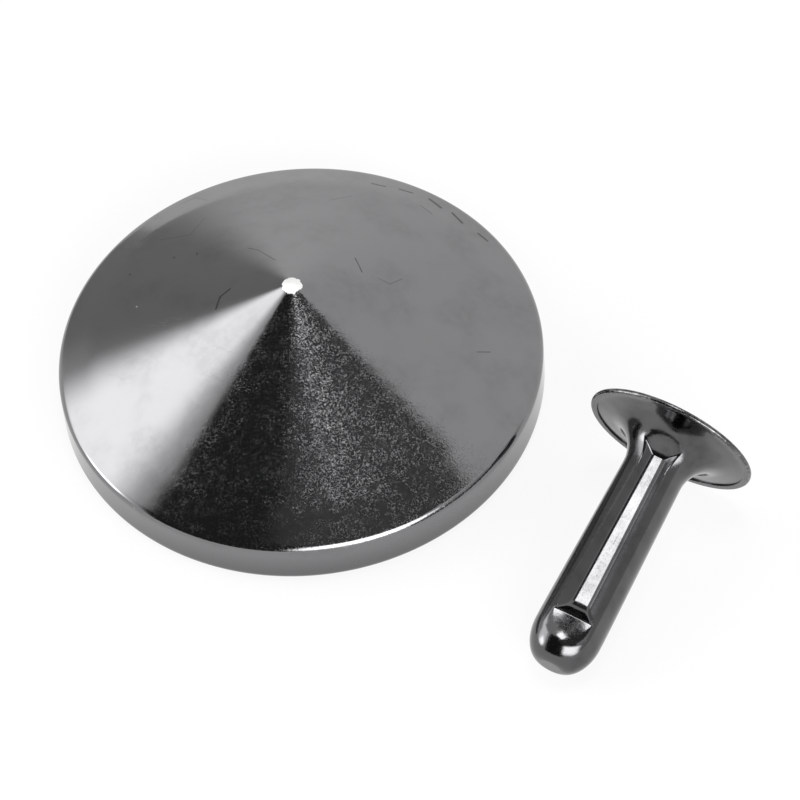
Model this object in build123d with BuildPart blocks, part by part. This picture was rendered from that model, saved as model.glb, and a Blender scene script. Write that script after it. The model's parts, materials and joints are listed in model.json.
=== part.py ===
from build123d import *
import os
from math import asin, cos, degrees, radians, sin, sqrt, tan

# A press rivet of two halves, lying apart: a cone cap on its rim, and a post on its side.
# Millimetres, Z up. The origin is on the cap's axis, on the plane that both halves rest on.

os.makedirs("parts", exist_ok=True)

# Cone cap: the drawn shell
cap_diameter = 25.0
cap_sheet = 0.40
flank_slope = 24.5
skirt_height = 2.32
apex_inner_radius = 0.60
shoulder_inner_radius = 0.10
rim_inner_radius = 0.15
lip_width = 1.30

# Cone cap: the closing plate with its socket collar
plate_sheet = 0.35
plate_bend_radius = 0.12
plate_edge_gap = 0.05
plate_top_gap = 0.05
land_diameter = 8.0
land_step_run = 0.80
collar_height = 2.20
socket_clearance = 0.08

# Post: the drawn stem
stem_length = 13.41
stem_wall = 0.24
root_diameter = 3.12
collar_diameter = 3.56
collar_length = 0.45
tip_dome_length = 1.94
tip_flat_diameter = 1.10

# Post: the trumpet flange at the head end, whose sheet is spread thinner towards its rim
head_diameter = 8.86
head_sheet = 0.07
flange_edge = 0.11
flange_edge_rounding = 0.045
rim_land_width = 0.40
crimp_clearance = 0.02
crimp_lip_width = 0.30
head_crown = 0.70
flange_slope = 9.0
trumpet_radius = 2.00

# Post: the two pressed dents
dent_start = 1.55
dent_floor_at_root = 1.15
dent_floor_at_ledge = 1.00
dent_floor_width_at_root = 0.62
dent_floor_width_at_ledge = 0.84
dent_wall_slope = 40.0
dent_root_ramp = 55.0
dent_ledge_ramp = 40.0
dent_crease_radius = 0.12
tool_margin = 1.0

# Where the post lies beside the cap: the bearing and the free space from the cap's rim to the
# post's head, the way in which the tip points, and the turn of the dents from straight up
post_bearing = -26.72
post_apart = 3.38
post_heading = -123.4
post_spin = -10.6

# Cone cap, worked out
cap_radius = cap_diameter / 2
apex_radius = apex_inner_radius + cap_sheet
shoulder_radius = shoulder_inner_radius + cap_sheet
rim_radius = rim_inner_radius + cap_sheet
slope_sin = sin(radians(flank_slope))
slope_cos = cos(radians(flank_slope))
flank_low_r = cap_radius - shoulder_radius + shoulder_radius * slope_sin
flank_low_z = skirt_height + shoulder_radius * slope_cos
flank_top_r = apex_radius * slope_sin
flank_top_z = flank_low_z + (flank_low_r - flank_top_r) * tan(radians(flank_slope))
apex_centre_z = flank_top_z - apex_radius * slope_cos

# Post, worked out: stations run along its axis, from the middle of the head's rim to the tip
root_radius = root_diameter / 2
collar_radius = collar_diameter / 2
tip_flat_radius = tip_flat_diameter / 2
collar_end = stem_length - tip_dome_length
ledge_station = collar_end - collar_length
head_radius = head_diameter / 2
channel_radius = head_radius - head_sheet
flange_radius = channel_radius - crimp_clearance
flange_top = -flange_edge / 2
flange_underside = flange_edge / 2
lip_station = flange_underside + head_sheet
head_rim_rounding = flange_edge_rounding + head_sheet
cone_radius = flange_radius - rim_land_width
trumpet_turn = radians(90 - flange_slope)
trumpet_room = (cone_radius - root_radius) / cos(radians(flange_slope)) / tan(trumpet_turn / 2)
trumpet_bend = min(trumpet_radius, trumpet_room - stem_wall)
socket_radius = collar_radius + socket_clearance
land_radius = land_diameter / 2
plate_radius = cap_radius - cap_sheet - plate_edge_gap
plate_top = skirt_height - plate_top_gap
dome_radius = (channel_radius**2 + head_crown**2) / (2 * head_crown)
dome_centre = flange_top - head_crown + dome_radius
inner_dome_span = degrees(asin(channel_radius / dome_radius))
outer_dome_span = degrees(asin(head_radius / (dome_radius + head_sheet)))


def reach(lean):
    """How far below the axis' start the tip and the head's rim reach, at a lean in radians."""
    dome_reach = sqrt(
        ((collar_radius - tip_flat_radius) * cos(lean)) ** 2
        + (tip_dome_length * sin(lean)) ** 2
    )
    tip = tip_flat_radius * cos(lean) + collar_end * sin(lean) + dome_reach
    rim_centre = lip_station - head_rim_rounding
    rim = (head_radius - head_rim_rounding) * cos(lean) + rim_centre * sin(lean)
    return tip, rim + head_rim_rounding


# The post leans until its tip rests on the same plane as the rim of its head
post_lean = 0.0
for _ in range(30):
    tip_reach, rim_reach = reach(post_lean)
    post_lean = post_lean + asin((rim_reach - tip_reach) / stem_length)
post_head_z = reach(post_lean)[1]
post_distance = cap_radius + post_apart + head_radius

head_centre = Vector(
    post_distance * cos(radians(post_bearing)),
    post_distance * sin(radians(post_bearing)),
    post_head_z,
)
heading_x = cos(radians(post_heading))
heading_y = sin(radians(post_heading))
post_direction = Vector(heading_x * cos(post_lean), heading_y * cos(post_lean), -sin(post_lean))
post_upper_side = Vector(heading_x * sin(post_lean), heading_y * sin(post_lean), cos(post_lean))
dent_direction = post_upper_side.rotate(Axis((0, 0, 0), post_direction), post_spin)
post_axis = Axis(head_centre, post_direction)
post_plane = Plane(head_centre, x_dir=dent_direction, z_dir=post_direction)
profile_plane = Plane(head_centre, x_dir=dent_direction, z_dir=-post_plane.y_dir)


def side_points(skin):
    """Corners of the stem's side from the flange to the tip, set in by a thickness of wall."""
    slope = radians(flange_slope)
    face = flange_underside - skin
    bend = cone_radius - skin * tan(slope / 2)
    root = root_radius - skin
    return [
        (bend, face),
        (root, face + (bend - root) * tan(slope)),
        (collar_radius - skin, ledge_station),
        (collar_radius - skin, collar_end),
    ]


def tip_dome(skin):
    """Rounded tip: a quarter ellipse down to a small flat end, closed along the axis."""
    dome = EllipticalCenterArc(
        (tip_flat_radius, collar_end),
        collar_radius - skin - tip_flat_radius,
        stem_length - skin - collar_end,
        start_angle=0,
        arc_size=90,
    )
    Polyline(dome @ 1, (0, stem_length - skin), (0, flange_top))


def along_dent(root_value, ledge_value, station):
    """A size of the dent at a station, changing evenly from its root end to its ledge."""
    share = (station - dent_start) / (ledge_station - dent_start)
    return root_value + (ledge_value - root_value) * share


def dent_form(growth):
    """The form of one punch, grown on every side by a thickness of wall.

    Seen from the side it has a ramp at each end; seen along the post it has a flat nose and
    sloping flanks, and it widens and goes deeper towards the ledge.
    """
    outer = collar_radius + tool_margin
    root_run = 1 / tan(radians(dent_root_ramp))
    ledge_run = 1 / tan(radians(dent_ledge_ramp))
    flank_run = 1 / tan(radians(dent_wall_slope))
    with BuildPart() as punch:
        with BuildSketch(profile_plane):
            with BuildLine():
                Polyline(
                    (outer, dent_start - (outer - root_radius) * root_run),
                    (0, dent_start + root_radius * root_run),
                    (0, ledge_station - collar_radius * ledge_run),
                    (outer, ledge_station + (outer - collar_radius) * ledge_run),
                    close=True,
                )
            make_face()
            if growth:
                offset(amount=growth, kind=Kind.INTERSECTION)
        extrude(amount=outer, both=True)
    with BuildPart() as nose:
        for station in (dent_start - 2 * outer, ledge_station + 2 * outer):
            floor = along_dent(dent_floor_at_root, dent_floor_at_ledge, station)
            width = along_dent(dent_floor_width_at_root, dent_floor_width_at_ledge, station)
            reach_out = width / 2 + (outer - floor) * flank_run
            with BuildSketch(post_plane.offset(station)) as section:
                with BuildLine():
                    Polyline(
                        (floor, -width / 2),
                        (floor, width / 2),
                        (outer, reach_out),
                        (outer, -reach_out),
                        close=True,
                    )
                make_face()
                if growth:
                    offset(amount=growth, kind=Kind.INTERSECTION)
                fillet(section.vertices().group_by(Axis.X)[0], dent_crease_radius + growth)
        loft()
    return punch.part & nose.part


def dent_pair(growth):
    """The two punches that press the post from opposite sides."""
    one = dent_form(growth)
    return [one, one.rotate(post_axis, 180)]


with BuildPart() as cap_shell:
    with BuildSketch(Plane.XZ):
        with BuildLine():
            apex = CenterArc((0, apex_centre_z), apex_radius, 90, -flank_slope)
            flank = Line(apex @ 1, (flank_low_r, flank_low_z))
            shoulder = CenterArc(
                (cap_radius - shoulder_radius, skirt_height),
                shoulder_radius,
                90 - flank_slope,
                flank_slope - 90,
            )
            skirt = Line(shoulder @ 1, (cap_radius, rim_radius))
            rim = CenterArc((cap_radius - rim_radius, rim_radius), rim_radius, 0, -90)
            Line(rim @ 1, (cap_radius - lip_width, 0))
            offset(amount=cap_sheet, side=Side.RIGHT)
        make_face()
    revolve(axis=Axis.Z)


cap_shell.part.label = "cap_shell"
export_step(cap_shell.part, "parts/cap_shell.step")


# The plate lies on the turned-in lip of the shell, and its edge stands against the skirt
with BuildPart() as cap_back_plate:
    with BuildSketch(Plane.XZ):
        with BuildLine():
            FilletPolyline(
                (socket_radius, collar_height),
                (socket_radius, 0),
                (land_radius, 0),
                (land_radius + land_step_run, cap_sheet),
                (plate_radius, cap_sheet),
                (plate_radius, plate_top),
                radius=[
                    plate_bend_radius + plate_sheet,
                    plate_bend_radius + plate_sheet,
                    plate_bend_radius,
                    plate_bend_radius + plate_sheet,
                ],
            )
            offset(amount=plate_sheet, side=Side.LEFT)
        make_face()
    revolve(axis=Axis.Z)

cap_back_plate.part.label = "cap_back_plate"
export_step(cap_back_plate.part, "parts/cap_back_plate.step")


# The hollow of the post follows the dents at the thickness of the wall
with BuildPart() as stem_hollow:
    with BuildSketch(profile_plane):
        with BuildLine():
            inner_side = side_points(stem_wall)
            FilletPolyline(
                (0, flange_top),
                *inner_side,
                radius=[0, trumpet_bend + stem_wall, 0],
            )
            tip_dome(stem_wall)
        make_face()
    revolve(axis=post_axis)
    add(dent_pair(stem_wall), mode=Mode.SUBTRACT)

with BuildPart() as post_stem:
    with BuildSketch(profile_plane):
        with BuildLine():
            FilletPolyline(
                (0, flange_top),
                (flange_radius, flange_top),
                (flange_radius, flange_underside),
                *side_points(0),
                radius=[flange_edge_rounding, flange_edge_rounding, 0, trumpet_bend, 0],
            )
            tip_dome(0)
        make_face()
    revolve(axis=post_axis)
    add(dent_pair(0), mode=Mode.SUBTRACT)
    add(stem_hollow.part, mode=Mode.SUBTRACT)

post_stem.part.label = "post_stem"
export_step(post_stem.part, "parts/post_stem.step")


# The outer cap of the head: a low dome whose edge is folded round the flange
with BuildPart() as post_head_cap:
    with BuildSketch(profile_plane) as head_section:
        with BuildLine():
            outer_dome = CenterArc((0, dome_centre), dome_radius + head_sheet, -90, outer_dome_span)
            inner_dome = CenterArc((0, dome_centre), dome_radius, -90, inner_dome_span)
            Polyline(
                outer_dome @ 1,
                (head_radius, lip_station),
                (channel_radius - crimp_lip_width, lip_station),
                (channel_radius - crimp_lip_width, flange_underside),
                (channel_radius, flange_underside),
                inner_dome @ 1,
            )
            Line(outer_dome @ 0, inner_dome @ 0)
        make_face()
        fillet(head_section.vertices().group_by(Axis.X)[-2], flange_edge_rounding)
        fillet(head_section.vertices().group_by(Axis.X)[-1], head_rim_rounding)
    revolve(axis=post_axis)

post_head_cap.part.label = "post_head_cap"
export_step(post_head_cap.part, "parts/post_head_cap.step")

print(f"cap height {apex_centre_z + apex_radius:.2f} mm, post leans {degrees(post_lean):.2f} degrees")
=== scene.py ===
"""Visual model of a press rivet whose two halves lie apart: a cone cap and a dented post.

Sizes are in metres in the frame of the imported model: Z up, the origin on the cap's axis, on the
plane that both halves rest on.
"""
import json
import logging
from dataclasses import dataclass, field
from enum import Enum
from functools import reduce
from math import atan2, cos, pi, radians, sin, sqrt, tan

import bpy
import numpy as np
from mathutils import Matrix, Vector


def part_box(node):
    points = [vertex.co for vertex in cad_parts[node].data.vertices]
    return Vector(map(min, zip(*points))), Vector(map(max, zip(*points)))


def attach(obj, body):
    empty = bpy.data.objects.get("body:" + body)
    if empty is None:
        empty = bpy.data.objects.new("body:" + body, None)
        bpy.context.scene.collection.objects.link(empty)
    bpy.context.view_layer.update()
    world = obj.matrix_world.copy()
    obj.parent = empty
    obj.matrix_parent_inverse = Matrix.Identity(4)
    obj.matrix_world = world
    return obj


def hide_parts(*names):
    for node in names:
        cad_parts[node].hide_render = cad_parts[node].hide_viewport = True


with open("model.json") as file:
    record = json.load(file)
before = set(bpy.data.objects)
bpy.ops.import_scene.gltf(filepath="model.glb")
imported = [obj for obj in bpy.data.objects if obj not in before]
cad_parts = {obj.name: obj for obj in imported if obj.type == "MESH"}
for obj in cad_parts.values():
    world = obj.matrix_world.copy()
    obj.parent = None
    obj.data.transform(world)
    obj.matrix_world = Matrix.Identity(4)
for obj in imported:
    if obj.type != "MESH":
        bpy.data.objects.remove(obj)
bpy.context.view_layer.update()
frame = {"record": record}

MM = 0.001
BODY = "root"
PHOTO_SIDE = 800
STEP = 0.25 * MM
FINE_STEP = 0.1 * MM
ARC_STEP = 0.12 * MM
ARC_TURN = radians(6)
SHARP_EDGE = radians(40)
SHARP_BEND = 0.25 * MM
GUARD = 1e-3
MISS = 1.0
LINE_SCALE = 7.0
LOG = logging.getLogger("rivet")


@dataclass(frozen=True)
class Axes:
    """Where a turned piece stands: its start, the way along its axis and the way of angle 0."""

    start: np.ndarray
    along: np.ndarray
    across: np.ndarray

    @property
    def aside(self) -> np.ndarray:
        """The way of angle 90 degrees."""
        return np.cross(self.along, self.across)

    def points(self, radius: np.ndarray, station: np.ndarray, angle: np.ndarray) -> np.ndarray:
        """Places of a turned surface.

        place = start + station * along + radius * (cos(angle) * across + sin(angle) * aside)

        Args:
            radius: Distances from the axis.
            station: Distances along the axis, of the same shape.
            angle: Angles about the axis in radians, of the same shape.

        Returns:
            One row of three coordinates for each value.
        """
        outwards = np.cos(angle)[..., None] * self.across + np.sin(angle)[..., None] * self.aside
        return self.start + station[..., None] * self.along + radius[..., None] * outwards


def rounded_run(corners: list[tuple[float, float]], radii: list[float], step: float) -> np.ndarray:
    """Points along straight lines whose corners are rounded.

    Where the line turns by an angle a, an arc of radius r meets both lines at r * tan(a / 2)
    from the corner, and its centre lies on the corner's bisector at r / cos(a / 2).

    Args:
        corners: The corners, ends included.
        radii: One radius for each corner between the ends, 0 for a sharp one.
        step: Largest distance between two points on a straight line.

    Returns:
        The points, one row each.
    """
    corner = np.asarray(corners, float)
    parts = [corner[:1]]
    for before, here, after, radius in zip(corner, corner[1:], corner[2:], radii):
        inward = (here - before) / np.linalg.norm(here - before)
        outward = (after - here) / np.linalg.norm(after - here)
        turn = atan2(inward[0] * outward[1] - inward[1] * outward[0], float(inward @ outward))
        reach = radius * abs(tan(turn / 2))
        side = np.array([-inward[1], inward[0]]) * np.sign(turn)
        fine = min(ARC_TURN, ARC_STEP / radius) if radius else pi
        share = np.linspace(0, abs(turn), 2 + int(abs(turn) / fine) if radius else 1)[:, None]
        arc = here - inward * reach + radius * (inward * np.sin(share) + side * (1 - np.cos(share)))
        parts += [straight(parts[-1][-1], arc[0], step), arc]
    parts.append(straight(parts[-1][-1], corner[-1], step))
    points = np.concatenate(parts)
    moved = np.linalg.norm(np.diff(points, axis=0), axis=1) > 1e-9
    return points[np.concatenate([[True], moved])]


def straight(first: np.ndarray, last: np.ndarray, step: float) -> np.ndarray:
    """Evenly spaced points on a line, both ends included, at most a step apart."""
    count = 2 + int(np.linalg.norm(last - first) / step)
    return np.linspace(first, last, count)


def round_span(centre: tuple[float, float], half_width: float, half_height: float,
               start: float, end: float, count: int) -> np.ndarray:
    """Points on an ellipse, from one angle in degrees to another.

    point = centre + (half_width * cos(angle), half_height * sin(angle))
    """
    angle = np.radians(np.linspace(start, end, count))
    return np.stack([centre[0] + half_width * np.cos(angle),
                     centre[1] + half_height * np.sin(angle)], axis=1)


def smooth_least(first: np.ndarray, second: np.ndarray, blend: float) -> np.ndarray:
    """The lesser of two values, rounded off where they differ by less than a blend length.

    least = second + (first - second) * h - blend * h * (1 - h),
    with h = (1 + (second - first) / blend) / 2 held between 0 and 1
    """
    share = np.clip(0.5 + 0.5 * (second - first) / blend, 0, 1)
    return second + (first - second) * share - blend * share * (1 - share)


def smooth_most(first: np.ndarray, second: np.ndarray, blend: float) -> np.ndarray:
    """The greater of two values, rounded off where they differ by less than a blend length."""
    return -smooth_least(-first, -second, blend)


def swell(distance: np.ndarray, width: float) -> np.ndarray:
    """A soft hump: 1 at distance 0, falling to 0 at a width: (1 - (distance / width)^2)^2."""
    return np.clip(1 - (distance / width) ** 2, 0, 1) ** 2


def surface_object(name: str, axes: Axes, grid: np.ndarray, poles: tuple[np.ndarray, ...],
                   edge: np.ndarray) -> bpy.types.Object:
    """A closed object from a grid of points that closes on itself around an axis.

    Neighbouring points make four-sided faces. With two poles, each end row is closed by a fan of
    triangles to its pole; without, the last row joins the first one. The attribute "place" holds
    each point's coordinates across, aside and along the piece's own axes, in millimetres.

    Args:
        name: Name of the object and its mesh.
        axes: Where the piece stands.
        grid: Points as rows, columns and coordinates.
        poles: The two closing points, or nothing for a section that is a loop.
        edge: How exposed to wear each row is, from 0 to 1.

    Returns:
        The object, linked to the scene, with faces that point outwards.
    """
    rows, columns = grid.shape[:2]
    number = np.arange(rows * columns).reshape(rows, columns)
    upper = number if not poles else number[:-1]
    lower = np.roll(number, -1, axis=0) if not poles else number[1:]
    quads = np.stack([upper, lower, np.roll(lower, -1, axis=1), np.roll(upper, -1, axis=1)], axis=-1)
    faces = quads.reshape(-1, 4).tolist()
    points = grid.reshape(-1, 3)
    wear = np.repeat(edge, columns)
    if poles:
        points = np.concatenate([points, np.array(poles)])
        wear = np.concatenate([wear, edge[[0, -1]]])
        first, last = number[0], number[-1]
        top = np.stack([np.full(columns, rows * columns), first, np.roll(first, -1)], axis=-1)
        end = np.stack([np.full(columns, rows * columns + 1), np.roll(last, -1), last], axis=-1)
        faces += top.tolist() + end.tolist()
    corner = points[quads.reshape(-1, 4)]
    diagonal = np.cross(corner[:, 2] - corner[:, 0], corner[:, 3] - corner[:, 1])
    volume = np.einsum("ij,ij->", corner.mean(axis=1), diagonal)
    if volume < 0:
        faces = [face[::-1] for face in faces]
    mesh = bpy.data.meshes.new(name)
    mesh.from_pydata(points.tolist(), [], faces)
    mesh.attributes.new("edge", "FLOAT", "POINT").data.foreach_set("value", wear)
    own = (points - axes.start) @ np.stack([axes.across, axes.aside, axes.along], axis=1) / MM
    mesh.attributes.new("place", "FLOAT_VECTOR", "POINT").data.foreach_set("vector", own.ravel())
    mesh.shade_smooth()
    mesh.set_sharp_from_angle(angle=SHARP_EDGE)
    piece = bpy.data.objects.new(name, mesh)
    bpy.context.scene.collection.objects.link(piece)
    return piece


def section_bend(profile: np.ndarray) -> np.ndarray:
    """How sharply a section turns outwards at each of its points, from 0 to 1.

    bend = (turn of the line at the point) / (length of the line there), against 1 / SHARP_BEND

    Args:
        profile: The section's points, one row each.

    Returns:
        One value for each point.
    """
    line = np.diff(profile, axis=0)
    length = np.linalg.norm(line, axis=1)
    heading = np.unwrap(np.arctan2(line[:, 1], line[:, 0]))
    turn = np.abs(np.diff(heading))
    bend = np.zeros(len(profile))
    bend[1:-1] = turn / (0.5 * (length[:-1] + length[1:]))
    return np.clip(bend * SHARP_BEND, 0, 1)


@dataclass(frozen=True)
class Mark:
    """A knock or a scratch on the cone, drawn only as a tone in the colour; a dark tone is painted shade in
    place of its hollow.

    Its points are a radius in millimetres and an azimuth in degrees each; then come half its width
    in millimetres and how light it is.
    """

    points: tuple[tuple[float, float], ...]
    half_width: float
    tone: float


@dataclass
class ConeCap:
    """The drawn cone shell."""

    sheet: float = 0.40 * MM
    flank_slope: float = 24.5
    skirt_height: float = 2.32 * MM
    apex_inner_radius: float = 0.60 * MM
    shoulder_inner_radius: float = 0.10 * MM
    rim_inner_radius: float = 0.15 * MM
    lip_width: float = 1.30 * MM
    flare_start: float = 10.7 * MM
    flare_slope: float = 28.0
    flare_bend: float = 14.0 * MM
    columns: int = 512
    marks: tuple[Mark, ...] = (
        Mark(((3.99, 176.5), (3.85, 165.8), (3.42, 158.7)), 0.08, 0.07),
        Mark(((11.05, 135.3), (10.91, 129.0)), 0.03, 0.10),
        Mark(((10.03, 132.5), (8.74, 126.2), (9.41, 117.5)), 0.03, 0.12),
        Mark(((11.9, 118.3), (11.8, 114.0), (11.0, 112.5)), 0.03, 0.10),
        Mark(((8.09, 138.4), (8.15, 138.0)), 0.06, 0.05),
        Mark(((7.01, 133.5), (7.05, 133.1)), 0.07, 0.05),
        Mark(((4.84, 116.3), (4.25, 112.5), (2.7, 106.8)), 0.04, 0.08),
        Mark(((9.91, 148.3), (9.95, 148.0)), 0.06, 0.06),
        Mark(((8.5, 162.7), (8.54, 162.5)), 0.06, 0.75),
        Mark(((11.27, 66.4), (11.31, 62.8)), 0.09, 0.05),
        Mark(((11.5, 59.0), (11.6, 55.6)), 0.09, 0.05),
        Mark(((11.75, 50.7), (11.55, 46.3)), 0.11, 0.04),
        Mark(((11.69, 43.1), (11.5, 38.6)), 0.10, 0.04),
        Mark(((11.7, 33.4), (11.8, 30.2)), 0.09, 0.05),
        Mark(((10.83, 50.4), (10.66, 45.5)), 0.04, 0.08),
        Mark(((4.32, 40.5), (3.96, 25.6)), 0.05, 0.06),
        Mark(((4.59, 18.4), (5.07, 13.2), (5.82, 16.8)), 0.03, 0.10),
        Mark(((9.28, -14.1), (9.9, -12.4)), 0.04, 0.08),
        Mark(((8.8, 75.2), (9.55, 69.1)), 0.03, 0.10),
        Mark(((3.0, -79.9), (5.0, -78.0), (7.1, -80.5)), 0.07, 0.30),
        Mark(((3.8, -74.0), (6.1, -73.5), (8.7, -76.8)), 0.07, 0.30),
        Mark(((3.6, -112.0), (5.2, -104.0), (7.4, -101.0)), 0.06, 0.22),
    )
    radius: float = field(init=False)
    axes: Axes = field(init=False)

    def __post_init__(self) -> None:
        """Takes the cap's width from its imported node."""
        low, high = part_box("cap_shell")
        self.radius = (high.x - low.x) / 2
        self.axes = Axes(np.zeros(3), np.array([0.0, 0.0, 1.0]), np.array([1.0, 0.0, 0.0]))

    def skin(self, inset: float) -> np.ndarray:
        """One face of the shell, from the cone's point to the turned-in lip.

        Args:
            inset: How far the face lies inside the outer one.

        Returns:
            Radius and height of each point of the section.
        """
        slope = radians(self.flank_slope)
        shoulder = self.shoulder_inner_radius + self.sheet
        wall = self.radius - inset
        crease = self.skirt_height + shoulder * cos(slope) + (shoulder * sin(slope) - shoulder) * tan(slope)
        foot = crease - inset / cos(slope) + inset * tan(slope)
        apex = self.apex_inner_radius + self.sheet - inset
        bend = apex * tan(slope / 2)
        top = foot + wall * tan(slope) - apex * (1 / cos(slope) - 1)
        corners = [(0, top), (bend, top)]
        radii = [apex]
        if not inset:
            start = foot + (wall - self.flare_start) * tan(slope)
            foot = start - (wall - self.flare_start) * tan(radians(self.flare_slope))
            corners.append((self.flare_start, start))
            radii.append(self.flare_bend)
        corners += [(wall, foot), (wall, inset), (self.radius - self.lip_width, inset)]
        radii += [shoulder - inset, self.rim_inner_radius + self.sheet - inset]
        return rounded_run(corners, radii, STEP)

    def on_flank(self, radius: float, azimuth: float) -> tuple[float, float, float]:
        """A place on the outer face of the cone.

        Args:
            radius: Its distance from the axis in millimetres.
            azimuth: Its angle about the axis in degrees.

        Returns:
            Its coordinates in millimetres.
        """
        face = self.skin(0.0)
        flank = face[: int(np.argmax(face[:, 0]))]
        height = float(np.interp(radius, flank[:, 0] / MM, flank[:, 1] / MM))
        return radius * cos(radians(azimuth)), radius * sin(radians(azimuth)), height

    def nicks(self) -> tuple["Nick", ...]:
        """The knocks and scratches on the flank.

        Returns:
            For each mark, the straight pieces between its points.
        """
        found = []
        for mark in self.marks:
            places = [self.on_flank(*point) for point in mark.points]
            found += [Nick(a, b, mark.half_width, mark.tone) for a, b in zip(places, places[1:])]
        return tuple(found)

    def build_shell(self) -> bpy.types.Object:
        """The shell: its outer face, the end of its lip and its inner face, turned round the axis."""
        profile = np.concatenate([self.skin(0.0), self.skin(self.sheet)[::-1]])
        return turned("cone_shell", self.axes, profile, self.columns)


def turned(name: str, axes: Axes, profile: np.ndarray, columns: int) -> bpy.types.Object:
    """A piece made by turning a section round an axis.

    Args:
        name: Name of the piece.
        axes: Where it stands.
        profile: Radius and station of each point of the section, which starts and ends on the axis
            or is a loop beside it.
        columns: Number of points in each ring.

    Returns:
        The finished object.
    """
    angles = np.linspace(0, 2 * pi, columns, endpoint=False)
    bend = section_bend(profile)
    on_axis = profile[0, 0] < 1e-9
    poles: tuple[np.ndarray, ...] = ()
    if on_axis:
        poles = tuple(axes.start + station * axes.along for station in profile[[0, -1], 1])
        profile, bend = profile[1:-1], bend[1:-1]
    radius, angle = np.meshgrid(profile[:, 0], angles, indexing="ij")
    station = np.repeat(profile[:, 1:], columns, axis=1)
    return surface_object(name, axes, axes.points(radius, station, angle), poles, bend)


@dataclass
class BackPlate:
    """The pressed plate under the cone, with the collar that the post's tip spreads in."""

    sheet: float = 0.35 * MM
    bend_radius: float = 0.12 * MM
    edge_gap: float = 0.05 * MM
    top_gap: float = 0.05 * MM
    land_radius: float = 4.0 * MM
    step_run: float = 0.80 * MM
    collar_height: float = 2.20 * MM
    step: float = 0.30 * MM
    columns: int = 256

    def build(self, cap: ConeCap) -> bpy.types.Object:
        """The plate: a line offset to both faces and turned round the cap's axis.

        Args:
            cap: The shell that the plate closes.

        Returns:
            The finished object.
        """
        mounts = {mount["name"]: mount for mount in frame["record"]["mounts"]}
        socket = mounts["post_socket"]["dims"]["r_mm"] * MM
        edge = cap.radius - cap.sheet - self.edge_gap
        top = cap.skirt_height - self.top_gap
        wide = self.bend_radius + self.sheet
        lower = rounded_run(
            [(socket, self.collar_height), (socket, 0), (self.land_radius, 0),
             (self.land_radius + self.step_run, cap.sheet), (edge, cap.sheet), (edge, top)],
            [wide, wide, self.bend_radius, wide], self.step)
        shift = self.sheet * tan(atan2(cap.sheet, self.step_run) / 2)
        upper = rounded_run(
            [(socket + self.sheet, self.collar_height), (socket + self.sheet, self.sheet),
             (self.land_radius - shift, self.sheet),
             (self.land_radius + self.step_run - shift, cap.sheet + self.sheet),
             (edge - self.sheet, cap.sheet + self.sheet), (edge - self.sheet, top)],
            [self.bend_radius, self.bend_radius, wide, self.bend_radius], self.step)
        return turned("back_plate", cap.axes, np.concatenate([lower, upper[::-1]]), self.columns)


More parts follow.
